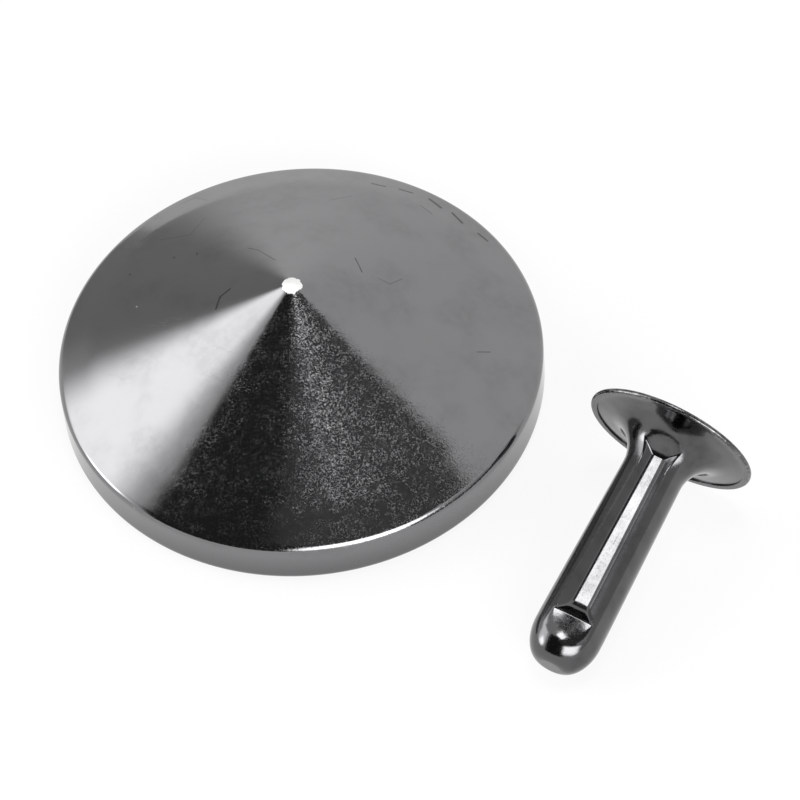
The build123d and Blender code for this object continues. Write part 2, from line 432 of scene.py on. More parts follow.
@dataclass
class Dent:
    """The form that one punch presses into the post, from its root end to its sharp ledge.

    It is made for the station at which the post's round collar starts, and for the collar's radius.
    """

    ledge_station: float
    collar_radius: float
    start: float = 1.55 * MM
    floor_at_root: float = 1.15 * MM
    floor_at_ledge: float = 1.00 * MM
    width_at_root: float = 0.70 * MM
    width_at_ledge: float = 0.92 * MM
    wall_slope: float = 40.0
    shoulder_range: tuple[float, float] = (14.0, 52.0)
    root_rise: float = 0.8
    root_curl: float = 0.9 / MM
    ledge_ramp: float = 36.0
    crease: float = 0.17 * MM
    ledge_before: float = 0.09 * MM
    facet_height: float = 1.43 * MM
    facet_rise: float = 0.13
    facet_crown: float = 4.5 * MM
    facet_blend: float = 0.20 * MM
    facet_reach: float = 60.0
    lip: float = 0.045 * MM
    lip_width: float = 0.11 * MM

    @property
    def run(self) -> float:
        """How far a flank runs sideways for each unit that it rises."""
        return 1 / tan(radians(self.wall_slope))

    @property
    def ledge_edge(self) -> float:
        """Station of the ledge's edge, a little before the collar."""
        return self.ledge_station - self.ledge_before

    def nose(self, station: np.ndarray) -> tuple[np.ndarray, np.ndarray]:
        """The punch's nose, which is straight along the post.

        Args:
            station: Stations along the post.

        Returns:
            Its height above the axis and half its width at each station.
        """
        share = (station - self.start) / (self.ledge_station - self.start)
        floor = self.floor_at_root + (self.floor_at_ledge - self.floor_at_root) * share
        half = 0.5 * (self.width_at_root + (self.width_at_ledge - self.width_at_root) * share)
        return floor, half

    def surface(self, station: np.ndarray, angle: np.ndarray, growth: float) -> np.ndarray:
        """Distance from the axis at which the punch's form begins.

        Seen along the post the form has a flat nose at x = floor and flanks that widen by
        1 / tan(slope). Seen from the side it curls up towards the root, as
        floor + rise * d + curl * d^2 at a distance d before its start, and it ends in a ramp at
        the ledge. A ray at angle t meets each of these at its own radius, and the form begins at
        the farthest of them.

        Args:
            station: Stations along the post.
            angle: Angles about the axis, 0 in the middle of this dent.
            growth: How far the form is grown, for the inner face of the wall.

        Returns:
            The radius for each station and angle, or a very large one where the ray misses.
        """
        floor, half = self.nose(station)
        facing = np.maximum(np.cos(angle), GUARD)
        nose = (floor - growth) / facing
        spread = np.maximum(self.run * facing - np.abs(np.sin(angle)), GUARD)
        half = half + growth * sqrt(1 + self.run**2)
        flank = np.maximum(self.run * floor - half, 0.0) / spread
        before = np.maximum(self.start - station, 0.0)
        root = floor + self.root_rise * before + self.root_curl * before**2
        root = np.where(before > 0, root - growth, 0.0) / facing
        ledge = self.facet_height - (self.ledge_edge - station) * tan(radians(self.ledge_ramp))
        ledge = (ledge - growth / cos(radians(self.ledge_ramp))) / facing
        form = smooth_most(nose, flank, self.crease)
        form = smooth_most(form, root, 0.5 * self.crease)
        return smooth_most(form, ledge, 1.5 * self.crease)

    def shoulder(self, station: np.ndarray, radius: np.ndarray, growth: float) -> np.ndarray:
        """Angle from the dent's middle at which the form's flank meets a round section.

        radius * (run * cos(angle) - sin(angle)) = run * floor - half, with run = 1 / tan(slope), so
        angle = arccos((run * floor - half) / (radius * sqrt(1 + run^2))) - slope

        Args:
            station: Stations along the post.
            radius: Radius of the round section at each of them.
            growth: How far the form is grown.

        Returns:
            The angles in radians.
        """
        floor, half = self.nose(station)
        length = sqrt(1 + self.run**2)
        reach = (self.run * floor - half - growth * length) / (np.maximum(radius, MM) * length)
        angle = np.arccos(np.clip(reach, -1, 1)) - radians(self.wall_slope)
        return np.clip(angle, *np.radians(self.shoulder_range))

    def facet(self, station: np.ndarray, angle: np.ndarray, growth: float) -> np.ndarray:
        """The flat that the punch leaves between the ledge and the tip, with the ledge's lip on it.

        radius = (height + rise * run + lip * hump(run / lip width) - y^2 / (2 * crown)) / cos(angle),
        where the run is the distance past the ledge and y the distance from the flat's middle line;
        the last part of the sum grows to its full size over the first millimetre

        Args:
            station: Stations along the post.
            angle: Angles about the axis, 0 in the middle of this dent.
            growth: How far the face lies inside the outer one.

        Returns:
            The radius for each station and angle, or a very large one where there is no flat.
        """
        run = station - self.ledge_edge
        height = self.facet_height + self.facet_rise * run + self.lip * swell(run, self.lip_width) - growth
        aside = self.collar_radius * np.sin(angle)
        height = height - aside**2 / (2 * self.facet_crown) * np.clip(run / MM, 0, 1)
        there = (run > -self.lip_width) & (np.abs(angle) < radians(self.facet_reach))
        return np.where(there, height / np.maximum(np.cos(angle), GUARD), MISS)


@dataclass
class Post:
    """The drawn stem with its trumpet flange, and the thin cap crimped round the flange."""

    length: float = 13.41 * MM
    wall: float = 0.24 * MM
    root_radius: float = 1.56 * MM
    tip_dome_length: float = 1.94 * MM
    tip_flat_radius: float = 0.55 * MM
    head_radius: float = 4.43 * MM
    head_sheet: float = 0.07 * MM
    flange_edge: float = 0.11 * MM
    edge_rounding: float = 0.045 * MM
    rim_land: float = 0.40 * MM
    crimp_clearance: float = 0.02 * MM
    crimp_lip: float = 0.30 * MM
    crown: float = 0.70 * MM
    head_columns: int = 512
    flange_slope: float = 9.0
    trumpet_radius: float = 2.00 * MM
    spin: float = -10.6
    shoulder_column: float = 30.0
    root_blend: float = 0.35 * MM
    root_blend_end: float = 2.5 * MM
    dent_reach: float = 60.0
    close_rows_end: float = 0.6 * MM
    root_rows_end: float = 2.0 * MM
    ledge_rows_start: float = 9.6 * MM
    rows_before_ledge: float = 0.15 * MM
    rows_past_ledge: float = 0.25 * MM
    rim_rows: int = 6
    lip_rounding: float = 0.02 * MM
    dent: Dent = field(init=False)
    axes: Axes = field(init=False)
    collar_radius: float = field(init=False)
    ledge_station: float = field(init=False)
    collar_end: float = field(init=False)

    def __post_init__(self) -> None:
        """Takes the post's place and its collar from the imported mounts."""
        mounts = {mount["name"]: mount for mount in frame["record"]["mounts"]}
        collar = mounts["post_collar"]
        along = np.array(collar["axis"], float)
        along /= np.linalg.norm(along)
        self.collar_radius = collar["dims"]["r_mm"] * MM
        collar_length = collar["dims"]["length_mm"] * MM
        self.collar_end = self.length - self.tip_dome_length
        self.ledge_station = self.collar_end - collar_length
        self.dent = Dent(self.ledge_station, self.collar_radius)
        middle = self.collar_end - collar_length / 2
        start = np.array(collar["pos_m"], float) - along * middle
        upper = np.array([0.0, 0.0, 1.0]) - along * along[2]
        upper /= np.linalg.norm(upper)
        turn = radians(self.spin)
        across = upper * cos(turn) + np.cross(along, upper) * sin(turn)
        self.axes = Axes(start, along, across)

    @property
    def channel_radius(self) -> float:
        """Radius inside the head cap's rim."""
        return self.head_radius - self.head_sheet

    @property
    def flange_radius(self) -> float:
        """Radius of the stem's flange."""
        return self.channel_radius - self.crimp_clearance

    def side(self, inset: float) -> np.ndarray:
        """The stem's side from the flange's slope to the ledge, with its trumpet bend.

        Args:
            inset: How far the line lies inside the outer face.

        Returns:
            Radius and station of each point, with rising stations.
        """
        slope = radians(self.flange_slope)
        face = self.flange_edge / 2 - inset
        bend = self.flange_radius - self.rim_land - inset * tan(slope / 2)
        root = self.root_radius - inset
        corners = [(bend, face), (root, face + (bend - root) * tan(slope)),
                   (self.collar_radius - inset, self.ledge_station)]
        return rounded_run(corners, [self.trumpet_radius + inset], STEP)

    def outline(self, inset: float) -> np.ndarray:
        """One face of the stem's section, from the flange to the middle of the tip.

        Rows stand close together where the dents begin and end.

        Args:
            inset: How far the face lies inside the outer one, 0 for the outer one itself.

        Returns:
            Radius and station of each point.
        """
        outer = not inset
        half_edge = self.flange_edge / 2
        side = self.side(inset)
        run = side[(side[:, 1] > -half_edge) & (side[:, 1] < self.close_rows_end)]
        if outer:
            edge = [(0, -half_edge), (self.flange_radius, -half_edge), (self.flange_radius, half_edge),
                    side[0]]
            run = np.concatenate([rounded_run(edge, [self.edge_rounding] * 2, STEP), run[1:]])
        else:
            run = np.concatenate([[[np.interp(-half_edge, side[:, 1], side[:, 0]), -half_edge]], run])
        ledge = self.dent.ledge_edge
        marks = np.array([run[-1, 1], self.root_rows_end, self.ledge_rows_start,
                          ledge - self.rows_before_ledge, ledge + self.rows_past_ledge,
                          self.collar_end])
        counts = [50, 34, 36, 32, 8] if outer else [8, 10, 6, 10, 4]
        spans = [np.linspace(a, b, n, endpoint=False) for a, b, n in zip(marks, marks[1:], counts)]
        stations = np.concatenate(spans)[1:]
        radius = np.interp(stations, side[:, 1], side[:, 0])
        dome = round_span((self.tip_flat_radius, self.collar_end),
                          self.collar_radius - inset - self.tip_flat_radius,
                          self.length - inset - self.collar_end, 0, 90, 48 if outer else 12)
        flat = straight(dome[-1], np.array([0, self.length - inset]), FINE_STEP)[1:]
        return np.concatenate([run, np.stack([radius, stations], axis=1), dome, flat])

    def angles(self) -> np.ndarray:
        """Where the columns of points stand round the stem.

        Returns:
            Angles that lie close together on the walls of both dents, with one on each shoulder.
        """
        knot = self.shoulder_column
        spans = [(0, 8, 5), (8, knot, 36), (knot, 52, 16), (52, 128, 20), (128, 180 - knot, 16),
                 (180 - knot, 172, 36), (172, 180, 5)]
        half = np.concatenate([np.linspace(a, b, n, endpoint=False) for a, b, n in spans])
        return np.radians(np.concatenate([half, half + 180]))

    def dented(self, profile: np.ndarray, angles: np.ndarray, inset: float) -> np.ndarray:
        """Points of one face of the stem, pressed in by both dents.

        radius = smooth least of the section's radius, the flat past the upper ledge and the two
        punches' forms. The flat's blend grows over the first millimetre past the ledge, and the
        punches' blend fades over the last millimetre before its end.

        Args:
            profile: Radius and station of each row.
            angles: Angle of each column.
            inset: How far the face lies inside the outer one.

        Returns:
            Points as rows, columns and coordinates.
        """
        radius, angle = np.meshgrid(profile[:, 0], angles, indexing="ij")
        station = np.repeat(profile[:, 1:], len(angles), axis=1)
        angle = self.drawn(angle, self.dent.shoulder(station, radius, inset))
        flat = self.dent.facet(station, np.angle(np.exp(1j * angle)), inset)
        past = np.clip((station - self.dent.ledge_edge) / MM, 0.1, 1)
        radius = smooth_least(radius, flat, self.dent.facet_blend * past)
        blend = self.root_blend * np.clip((self.root_blend_end - station) / MM, 1e-6, 1)
        for turn in (0.0, pi):
            local = np.angle(np.exp(1j * (angle - turn)))
            form = self.dent.surface(station, local, inset)
            form = np.where(np.abs(local) < radians(self.dent_reach), form, MISS)
            radius = smooth_least(radius, form, blend)
        return self.axes.points(radius, station, angle)

    def drawn(self, angle: np.ndarray, shoulder: np.ndarray) -> np.ndarray:
        """Angles shifted so that the columns at the shoulder's share stand on the dents' shoulders.

        Up to the knot an angle from the nearer dent's middle grows by shoulder / knot, and past it
        the rest is spread evenly up to a right angle.

        Args:
            angle: Angles about the axis.
            shoulder: For each of them the shoulder's angle at its station.

        Returns:
            The shifted angles.
        """
        knot = radians(self.shoulder_column)
        middle = pi * np.round(angle / pi)
        off = np.abs(angle - middle)
        past = shoulder + (off - knot) * (pi / 2 - shoulder) / (pi / 2 - knot)
        return middle + np.sign(angle - middle) * np.where(off < knot, off * shoulder / knot, past)

    def build_stem(self) -> bpy.types.Object:
        """The stem.

        Returns:
            Its dented inner and outer faces, joined at the open end of the flange.
        """
        angles = self.angles()
        outer = self.outline(0.0)[1:]
        inner = self.outline(self.wall)[::-1]
        rows = np.concatenate([self.dented(inner[1:], angles, self.wall),
                               self.dented(outer[:-1], angles, 0.0)])
        bend = np.concatenate([np.zeros(len(inner) - 1), section_bend(outer)[:-1]])
        poles = tuple(self.axes.start + s * self.axes.along for s in (inner[0, 1], outer[-1, 1]))
        return surface_object("stem", self.axes, rows, poles, bend)

    def build_head(self) -> bpy.types.Object:
        """The head's cap.

        Returns:
            A low dome whose edge is rolled round the flange.
        """
        channel = self.channel_radius
        dome = (channel**2 + self.crown**2) / (2 * self.crown)
        centre = -self.flange_edge / 2 - self.crown + dome
        under = self.flange_edge / 2
        lip = channel - self.crimp_lip
        outer_end = np.degrees(np.arcsin(self.head_radius / (dome + self.head_sheet)))
        inner_end = np.degrees(np.arcsin(channel / dome))
        reach = dome + self.head_sheet
        outer = round_span((0, centre), reach, reach, -90, outer_end - 90, 60)
        inner = round_span((0, centre), dome, dome, -90, inner_end - 90, 30)
        roll = self.edge_rounding + self.head_sheet
        rim = rounded_run(
            [outer[-self.rim_rows], outer[-1], (self.head_radius, under + self.head_sheet),
             (lip, under + self.head_sheet), (lip, under), (channel, under), inner[-1], inner[-2]],
            [roll] * 2 + [self.lip_rounding] * 2 + [self.edge_rounding] * 2, FINE_STEP)
        profile = np.concatenate([outer[:-self.rim_rows], rim[:-1], inner[:-1][::-1]])
        return turned("head_cap", self.axes, profile, self.head_columns)


Socket = bpy.types.NodeSocket
Value = float | tuple[float, ...] | Socket
ORIGIN = (0.0, 0.0, 0.0)


@dataclass(frozen=True)
class Bench:
    """A node tree that is being filled."""

    tree: bpy.types.NodeTree

    def join(self, socket: Socket, value: Value) -> None:
        """Sets an input to a value, or links it to the socket that feeds it.

        Args:
            socket: The input.
            value: Its value, or the output that feeds it.
        """
        if isinstance(value, Socket):
            self.tree.links.new(value, socket)
        else:
            socket.default_value = value

    def add(self, kind: str, inputs: dict[str | int, Value] | None = None,
            **settings: object) -> bpy.types.Node:
        """Adds a node, and sets or links its inputs.

        Args:
            kind: The node's type.
            inputs: For each input's name or number, its value or the socket that feeds it.
            settings: The node's own settings.

        Returns:
            The node.
        """
        node = self.tree.nodes.new(kind)
        for name, value in settings.items():
            setattr(node, name, value)
        for key, value in (inputs or {}).items():
            self.join(node.inputs[key], value)
        return node

    def maths(self, operation: str, *values: Value) -> Socket:
        """The result of one operation on numbers."""
        return self.add("ShaderNodeMath", dict(enumerate(values)), operation=operation).outputs[0]

    def plus(self, *values: Value) -> Socket:
        """The sum of several numbers."""
        return reduce(lambda total, value: self.maths("ADD", total, value), values)

    def minus(self, first: Value, second: Value) -> Socket:
        """The first number less the second one."""
        return self.maths("SUBTRACT", first, second)

    def times(self, first: Value, second: Value) -> Socket:
        """The product of two numbers."""
        return self.maths("MULTIPLY", first, second)

    def most(self, first: Value, second: Value) -> Socket:
        """The greater of two numbers."""
        return self.maths("MAXIMUM", first, second)

    def vector(self, operation: str, *values: Value) -> Socket:
        """The vector that one operation on vectors gives."""
        node = self.add("ShaderNodeVectorMath", dict(enumerate(values)), operation=operation)
        return node.outputs["Vector"]

    def measure(self, operation: str, *values: Value) -> Socket:
        """The number that one operation on vectors gives."""
        node = self.add("ShaderNodeVectorMath", dict(enumerate(values)), operation=operation)
        return node.outputs["Value"]

    def rise(self, value: Value, low: Value, high: Value) -> Socket:
        """A smooth change from 0 at the first limit to 1 at the second one."""
        limits = {"Value": value, "From Min": low, "From Max": high}
        return self.add("ShaderNodeMapRange", limits, interpolation_type="SMOOTHSTEP").outputs["Result"]

    def noise(self, place: Value, scale: Value, detail: float = 2.0) -> Socket:
        """Cloudy noise between 0 and 1, with a middle of 0.5."""
        inputs = {"Vector": place, "Scale": scale, "Detail": detail}
        return self.add("ShaderNodeTexNoise", inputs).outputs["Fac"]

    def swing(self, place: Value, scale: Value, detail: float, size: float) -> Socket:
        """Noise about 0, from minus half a size to half a size."""
        return self.times(self.minus(self.noise(place, scale, detail), 0.5), size)

    def mix(self, share: Value, first: Value, second: Value) -> Socket:
        """A colour between two others."""
        mixer = self.add("ShaderNodeMix", {0: share, 6: first, 7: second}, data_type="RGBA")
        return mixer.outputs[2]


class Effect:
    """A node group with named sockets, built once and placed wherever it is needed."""

    def __init__(self, name: str, inputs: dict[str, float | tuple[float, ...]],
                 outputs: tuple[str, ...] = ("Mask",)) -> None:
        """Makes the empty group.

        Args:
            name: The group's name.
            inputs: For each input its first value; three numbers make it a vector.
            outputs: Names of the outputs, which are all numbers.
        """
        self.tree = bpy.data.node_groups.new(name, "ShaderNodeTree")
        for label, value in inputs.items():
            kind = "NodeSocketVector" if isinstance(value, tuple) else "NodeSocketFloat"
            socket = self.tree.interface.new_socket(name=label, in_out="INPUT", socket_type=kind)
            socket.default_value = value
        for label in outputs:
            self.tree.interface.new_socket(name=label, in_out="OUTPUT", socket_type="NodeSocketFloat")
        self.bench = Bench(self.tree)
        self.given = self.bench.add("NodeGroupInput").outputs

    def result(self, **values: Socket) -> "Effect":
        """Joins the group's outputs, by name, and returns the group."""
        self.bench.add("NodeGroupOutput", values)
        return self

    def place(self, bench: Bench, inputs: dict[str, Value]) -> bpy.types.bpy_prop_collection:
        """Puts the group into another tree and returns its outputs."""
        return bench.add("ShaderNodeGroup", inputs, node_tree=self.tree).outputs


class Effects:
    """The surface effects that the platings share."""

    SPECK_LIMITS = (0.54, 0.70)
    WRINKLE_WIDTH = 0.035
    FRONT = (0.09, -1.0, 0.0)

    def __init__(self) -> None:
        """Builds each group once."""
        self.grain = self.make_grain()
        self.hairlines = self.make_hairlines()
        self.wear = self.make_wear()
        self.smudges = self.make_smudges()
        self.mark = self.make_mark()
        self.highlight_spot = self.make_highlight_spot()
        self.sector = self.make_sector()

    def make_grain(self) -> Effect:
        """Orange peel of plated sheet: height = 0.65 * fine noise + 0.35 * noise four times as wide.

        Specks stand where the fine noise is high, and along the lines where a second noise is 0.5.

        Returns:
            The group, which gives the height and the specks.
        """
        effect = Effect("plated grain", {"Place": ORIGIN, "Size": 0.1}, ("Height", "Specks"))
        bench, given = effect.bench, effect.given
        scale = bench.maths("DIVIDE", 1.0, given["Size"])
        fine = bench.noise(given["Place"], scale, 1.0)
        wide = bench.noise(given["Place"], bench.times(scale, 0.25), 2.0)
        height = bench.plus(bench.times(fine, 0.65), bench.times(wide, 0.35))
        elsewhere = bench.vector("ADD", given["Place"], (11.0, 5.0, 3.0))
        second = bench.noise(elsewhere, bench.times(scale, 0.55), 2.0)
        wrinkle = bench.rise(bench.maths("ABSOLUTE", bench.minus(second, 0.5)), self.WRINKLE_WIDTH, 0.0)
        specks = bench.rise(fine, *self.SPECK_LIMITS)
        return effect.result(Height=height, Specks=bench.most(specks, wrinkle))

    def make_hairlines(self) -> Effect:
        """Fine broken lines: where stretched noise passes 0.5, kept only where wide noise is high.

        Returns:
            The group, which gives the lines and their depth.
        """
        sockets = {"Place": ORIGIN, "Width": 0.02, "Amount": 0.4}
        effect = Effect("hairlines", sockets, ("Height", "Mask"))
        bench, given = effect.bench, effect.given
        off = bench.maths("ABSOLUTE", bench.minus(bench.noise(given["Place"], 1.0, 3.0), 0.5))
        line = bench.rise(off, given["Width"], 0.0)
        limit = bench.minus(0.75, bench.times(given["Amount"], 0.5))
        wider = bench.vector("MULTIPLY", given["Place"], (0.35, 0.35, 0.35))
        cloud = bench.noise(bench.vector("ADD", wider, (7.0, 3.0, 5.0)), 1.0, 1.0)
        mask = bench.times(line, bench.rise(cloud, limit, bench.plus(limit, 0.08)))
        return effect.result(Height=bench.times(mask, -1.0), Mask=mask)

    def make_wear(self) -> Effect:
        """Plating rubbed thin on edges: the exposure and noise together pass a limit.

        Returns:
            The group, which gives the worn share.
        """
        effect = Effect("edge wear", {"Place": ORIGIN, "Exposure": 0.0, "Amount": 0.5})
        bench, given = effect.bench, effect.given
        reached = bench.plus(given["Exposure"], bench.swing(given["Place"], 3.5, 4.0, 1.6))
        limit = bench.minus(1.2, given["Amount"])
        return effect.result(Mask=bench.rise(reached, limit, bench.plus(limit, 0.35)))

    def make_smudges(self) -> Effect:
        """Handling film: clouds of two sizes multiplied, which dull the polish in patches.

        Returns:
            The group, which gives the amount of film.
        """
        effect = Effect("smudges", {"Place": ORIGIN, "Size": 3.0})
        bench, given = effect.bench, effect.given
        scale = bench.maths("DIVIDE", 1.0, given["Size"])
        wide = bench.rise(bench.noise(given["Place"], scale, 2.0), 0.38, 0.66)
        near = bench.rise(bench.noise(given["Place"], bench.times(scale, 6.0), 3.0), 0.35, 0.65)
        return effect.result(Mask=bench.times(wide, bench.plus(bench.times(near, 0.5), 0.5)))

    def make_mark(self) -> Effect:
        """One nick: the distance to the line from its start to its end, soft at the edge.

        share = (place - start) . run / (run . run), held between 0 and 1;
        distance = |place - start - share * run|

        Returns:
            The group, which gives 1 on the nick.
        """
        sockets = {"Place": ORIGIN, "Start": ORIGIN, "End": (0.0, 0.0, 1.0), "Half Width": 0.05}
        effect = Effect("nick", sockets)
        bench, given = effect.bench, effect.given
        run = bench.vector("SUBTRACT", given["End"], given["Start"])
        offset = bench.vector("SUBTRACT", given["Place"], given["Start"])
        share = bench.maths("DIVIDE", bench.measure("DOT_PRODUCT", offset, run),
                            bench.measure("DOT_PRODUCT", run, run))
        held = bench.maths("MINIMUM", bench.most(share, 0.0), 1.0)
        shares = bench.add("ShaderNodeCombineXYZ", dict.fromkeys(range(3), held)).outputs[0]
        distance = bench.measure("DISTANCE", offset, bench.vector("MULTIPLY", run, shares))
        width = given["Half Width"]
        return effect.result(Mask=bench.rise(distance, width, bench.times(width, 0.3)))

    def make_highlight_spot(self) -> Effect:
        """A spot with a ragged border, used for the painted highlight on the cone's point: the distance to
        its middle and noise against its radius.

        Returns:
            The group, which gives 1 on the spot.
        """
        effect = Effect("painted highlight spot", {"Place": ORIGIN, "Middle": ORIGIN, "Radius": 0.5})
        bench, given = effect.bench, effect.given
        distance = bench.measure("DISTANCE", given["Place"], given["Middle"])
        reach = bench.plus(distance, bench.swing(given["Place"], 5.0, 3.0, 0.35))
        return effect.result(Mask=bench.rise(reach, bench.plus(given["Radius"], 0.04), given["Radius"]))

    def make_sector(self) -> Effect:
        """The scuffed front of a turned piece, more so on its right, in clumps.

        A place belongs to it where the way from the axis leans towards the front, with a ragged
        border.

        Returns:
            The group, which gives the scuffed share.
        """
        effect = Effect("scuffed sector", {"Place": ORIGIN})
        bench, given = effect.bench, effect.given
        outwards = bench.vector("NORMALIZE", bench.vector("MULTIPLY", given["Place"], (1.0, 1.0, 0.0)))
        lean = bench.measure("DOT_PRODUCT", outwards, self.FRONT)
        front = bench.rise(bench.plus(lean, bench.swing(given["Place"], 1.2, 3.0, 0.3)), 0.64, 0.80)
        right = bench.rise(bench.measure("DOT_PRODUCT", outwards, (1.0, 0.0, 0.0)), -0.15, 0.25)
        clumps = bench.rise(bench.noise(given["Place"], 1.6, 3.0), 0.36, 0.60)
        share = bench.times(bench.plus(bench.times(right, 0.34), 0.66),
                            bench.plus(bench.times(clumps, 0.45), 0.55))
        return effect.result(Mask=bench.times(front, share))


class Lay(Enum):
    """Which way the fine lines of a finish run on a piece."""

    DRAWN = "along the axis"
    TURNED = "round the axis"
    HANDLED = "any way"

    def stretched(self, bench: Bench, place: Socket) -> Socket:
        """Coordinates in which lines that run this way are long.

        Args:
            bench: The tree that the nodes go into.
            place: The piece's own coordinates in millimetres.

        Returns:
            The coordinates, squeezed across the lines.
        """
        if self is Lay.DRAWN:
            return bench.vector("MULTIPLY", place, (LINE_SCALE, LINE_SCALE, 0.35))
        if self is Lay.TURNED:
            flat = bench.vector("MULTIPLY", place, (1.0, 1.0, 0.0))
            rings = bench.times(bench.measure("LENGTH", flat), LINE_SCALE)
            drift = bench.vector("MULTIPLY", place, (0.12, 0.12, LINE_SCALE))
            return bench.vector("ADD", drift, bench.add("ShaderNodeCombineXYZ", {"Z": rings}).outputs[0])
        turned_place = bench.add("ShaderNodeVectorRotate", {"Vector": place, "Angle": 0.6}).outputs[0]
        return bench.vector("MULTIPLY", turned_place, (0.55, 4.5, 3.0))


@dataclass(frozen=True)
class Nick:
    """A straight piece of a knock or scratch, in the piece's own coordinates in millimetres."""

    start: tuple[float, float, float]
    end: tuple[float, float, float]
    half_width: float
    tone: float


@dataclass(frozen=True)
class Plating:
    """Polished dark plating: its colour, its polish and the marks on it.

    Sizes are in millimetres and heights in micrometres.
    """

    name: str
    colour: tuple[float, float, float]
    roughness: float
    lay: Lay
    grain_size: float = 0.10
    grain_height: float = 6.0
    speck_dullness: float = 0.26
    unscuffed: float = 1.0
    film_size: float = 2.6
    film_amount: float = 0.3
    film_and_shade_tone: float = 0.92
    film_dullness: float = 0.05
    # The next two set painted shade: how high above the foot it reaches, and how strong it is at the foot.
    foot_shade_height: float = 1.0
    painted_foot_shade: float = 0.0
    line_width: float = 0.014
    line_height: float = 0.5
    line_amount: float = 0.3
    line_dullness: float = 0.10
    wear_amount: float = 0.45
    wear_share: float = 0.7
    wear_colour: tuple[float, float, float] = (0.42, 0.41, 0.40)
    wear_dullness: float = 0.08
    nicks: tuple[Nick, ...] = ()
    nick_share: float = 0.8
    # A white disc: a painted highlight on the cone's point, with the roughness and dip of a worn spot.
    highlight_spot_middle: tuple[float, float, float] | None = None
    highlight_spot_radius: float = 0.5
    painted_highlight_colour: tuple[float, float, float] = (0.9, 0.9, 0.89)
    worn_dullness: float = 0.5
    worn_depth: float = 1.5

    def material(self, effects: Effects) -> bpy.types.Material:
        """The finish as a material.

        Args:
            effects: The shared surface effects.

        Returns:
            A metal whose colour, roughness and fine heights vary over the piece.
        """
        material = bpy.data.materials.new(self.name)
        material.use_nodes = True
        bench = Bench(material.node_tree)
        place = bench.add("ShaderNodeAttribute", attribute_name="place").outputs["Vector"]
        exposure = bench.add("ShaderNodeAttribute", attribute_name="edge").outputs["Fac"]
        grain = effects.grain.place(bench, {"Place": place, "Size": self.grain_size})
        lined = {"Place": self.lay.stretched(bench, place), "Width": self.line_width,
                 "Amount": self.line_amount}
        lines = effects.hairlines.place(bench, lined)
        smudges = effects.smudges.place(bench, {"Place": place, "Size": self.film_size})["Mask"]
        film = bench.times(smudges, self.film_amount)
        wear = {"Place": place, "Exposure": exposure, "Amount": self.wear_amount}
        worn = effects.wear.place(bench, wear)["Mask"]
        scuff = bench.most(self.unscuffed, effects.sector.place(bench, {"Place": place})["Mask"])
        colour = self.tinted(bench, effects, place, film, worn)
        height = bench.plus(bench.times(bench.times(grain["Height"], scuff), self.grain_height),
                            bench.times(lines["Height"], self.line_height))
        rough = bench.plus(self.roughness, bench.times(film, self.film_dullness),
                           bench.times(bench.times(grain["Specks"], scuff), self.speck_dullness),
                           bench.times(lines["Mask"], self.line_dullness),
                           bench.times(worn, self.wear_dullness))
        # A white disc at the middle: painted highlight, which also roughens the spot and lowers it like
        # wear.
        if self.highlight_spot_middle:
            spot = {"Place": place, "Middle": self.highlight_spot_middle, "Radius": self.highlight_spot_radius}
            painted_highlight = effects.highlight_spot.place(bench, spot)["Mask"]
            colour = bench.mix(painted_highlight, colour, (*self.painted_highlight_colour, 1))
            rough = bench.plus(rough, bench.times(painted_highlight, self.worn_dullness))
            height = bench.minus(height, bench.times(painted_highlight, self.worn_depth))
        bump = bench.add("ShaderNodeBump", {"Strength": 1.0, "Distance": 1e-6, "Height": height})
        shader = material.node_tree.nodes["Principled BSDF"]
        shader.inputs["Metallic"].default_value = 1.0
        bench.join(shader.inputs["Base Color"], colour)
        bench.join(shader.inputs["Roughness"], rough)
        bench.join(shader.inputs["Normal"], bump.outputs["Normal"])
        return material

    def tinted(self, bench: Bench, effects: Effects, place: Socket,
               film: Socket, worn: Socket) -> Socket:
        """The colour with its film, its worn edges, its nicks, and painted shade that darkens it towards
        the piece's foot.

        Args:
            bench: The material's tree.
            effects: The shared surface effects.
            place: The piece's own coordinates.
            film: How much film lies at a place. Painted shade, which grows towards the piece's foot, is
                laid on in the same way.
            worn: How far the plating is rubbed thin.

        Returns:
            The colour.
        """
        film_and_shade_colour = tuple(self.film_and_shade_tone * channel for channel in self.colour)
        # Painted shade: the colour darkens towards the piece's foot, in place of the shaded floor that the
        # skirt reflects.
        low = bench.rise(bench.add("ShaderNodeSeparateXYZ", {0: place}).outputs["Z"], self.foot_shade_height, 0.0)
        film = bench.most(film, bench.times(low, self.painted_foot_shade))
        colour = bench.mix(film, (*self.colour, 1), (*film_and_shade_colour, 1))
        colour = bench.mix(bench.times(worn, self.wear_share), colour, (*self.wear_colour, 1))
        ragged = bench.plus(0.6, bench.times(bench.noise(place, 9.0, 2.0), 0.9))
        # The nicks change the colour only: their dark tones are painted shade standing in for the hollows
        # of knocks and scratches.
        for nick in self.nicks:
            line = {"Place": place, "Start": nick.start, "End": nick.end,
                    "Half Width": bench.times(ragged, nick.half_width)}
            mask = effects.mark.place(bench, line)["Mask"]
            shade = (nick.tone, nick.tone, nick.tone, 1)
            colour = bench.mix(bench.times(mask, self.nick_share), colour, shade)
        return colour


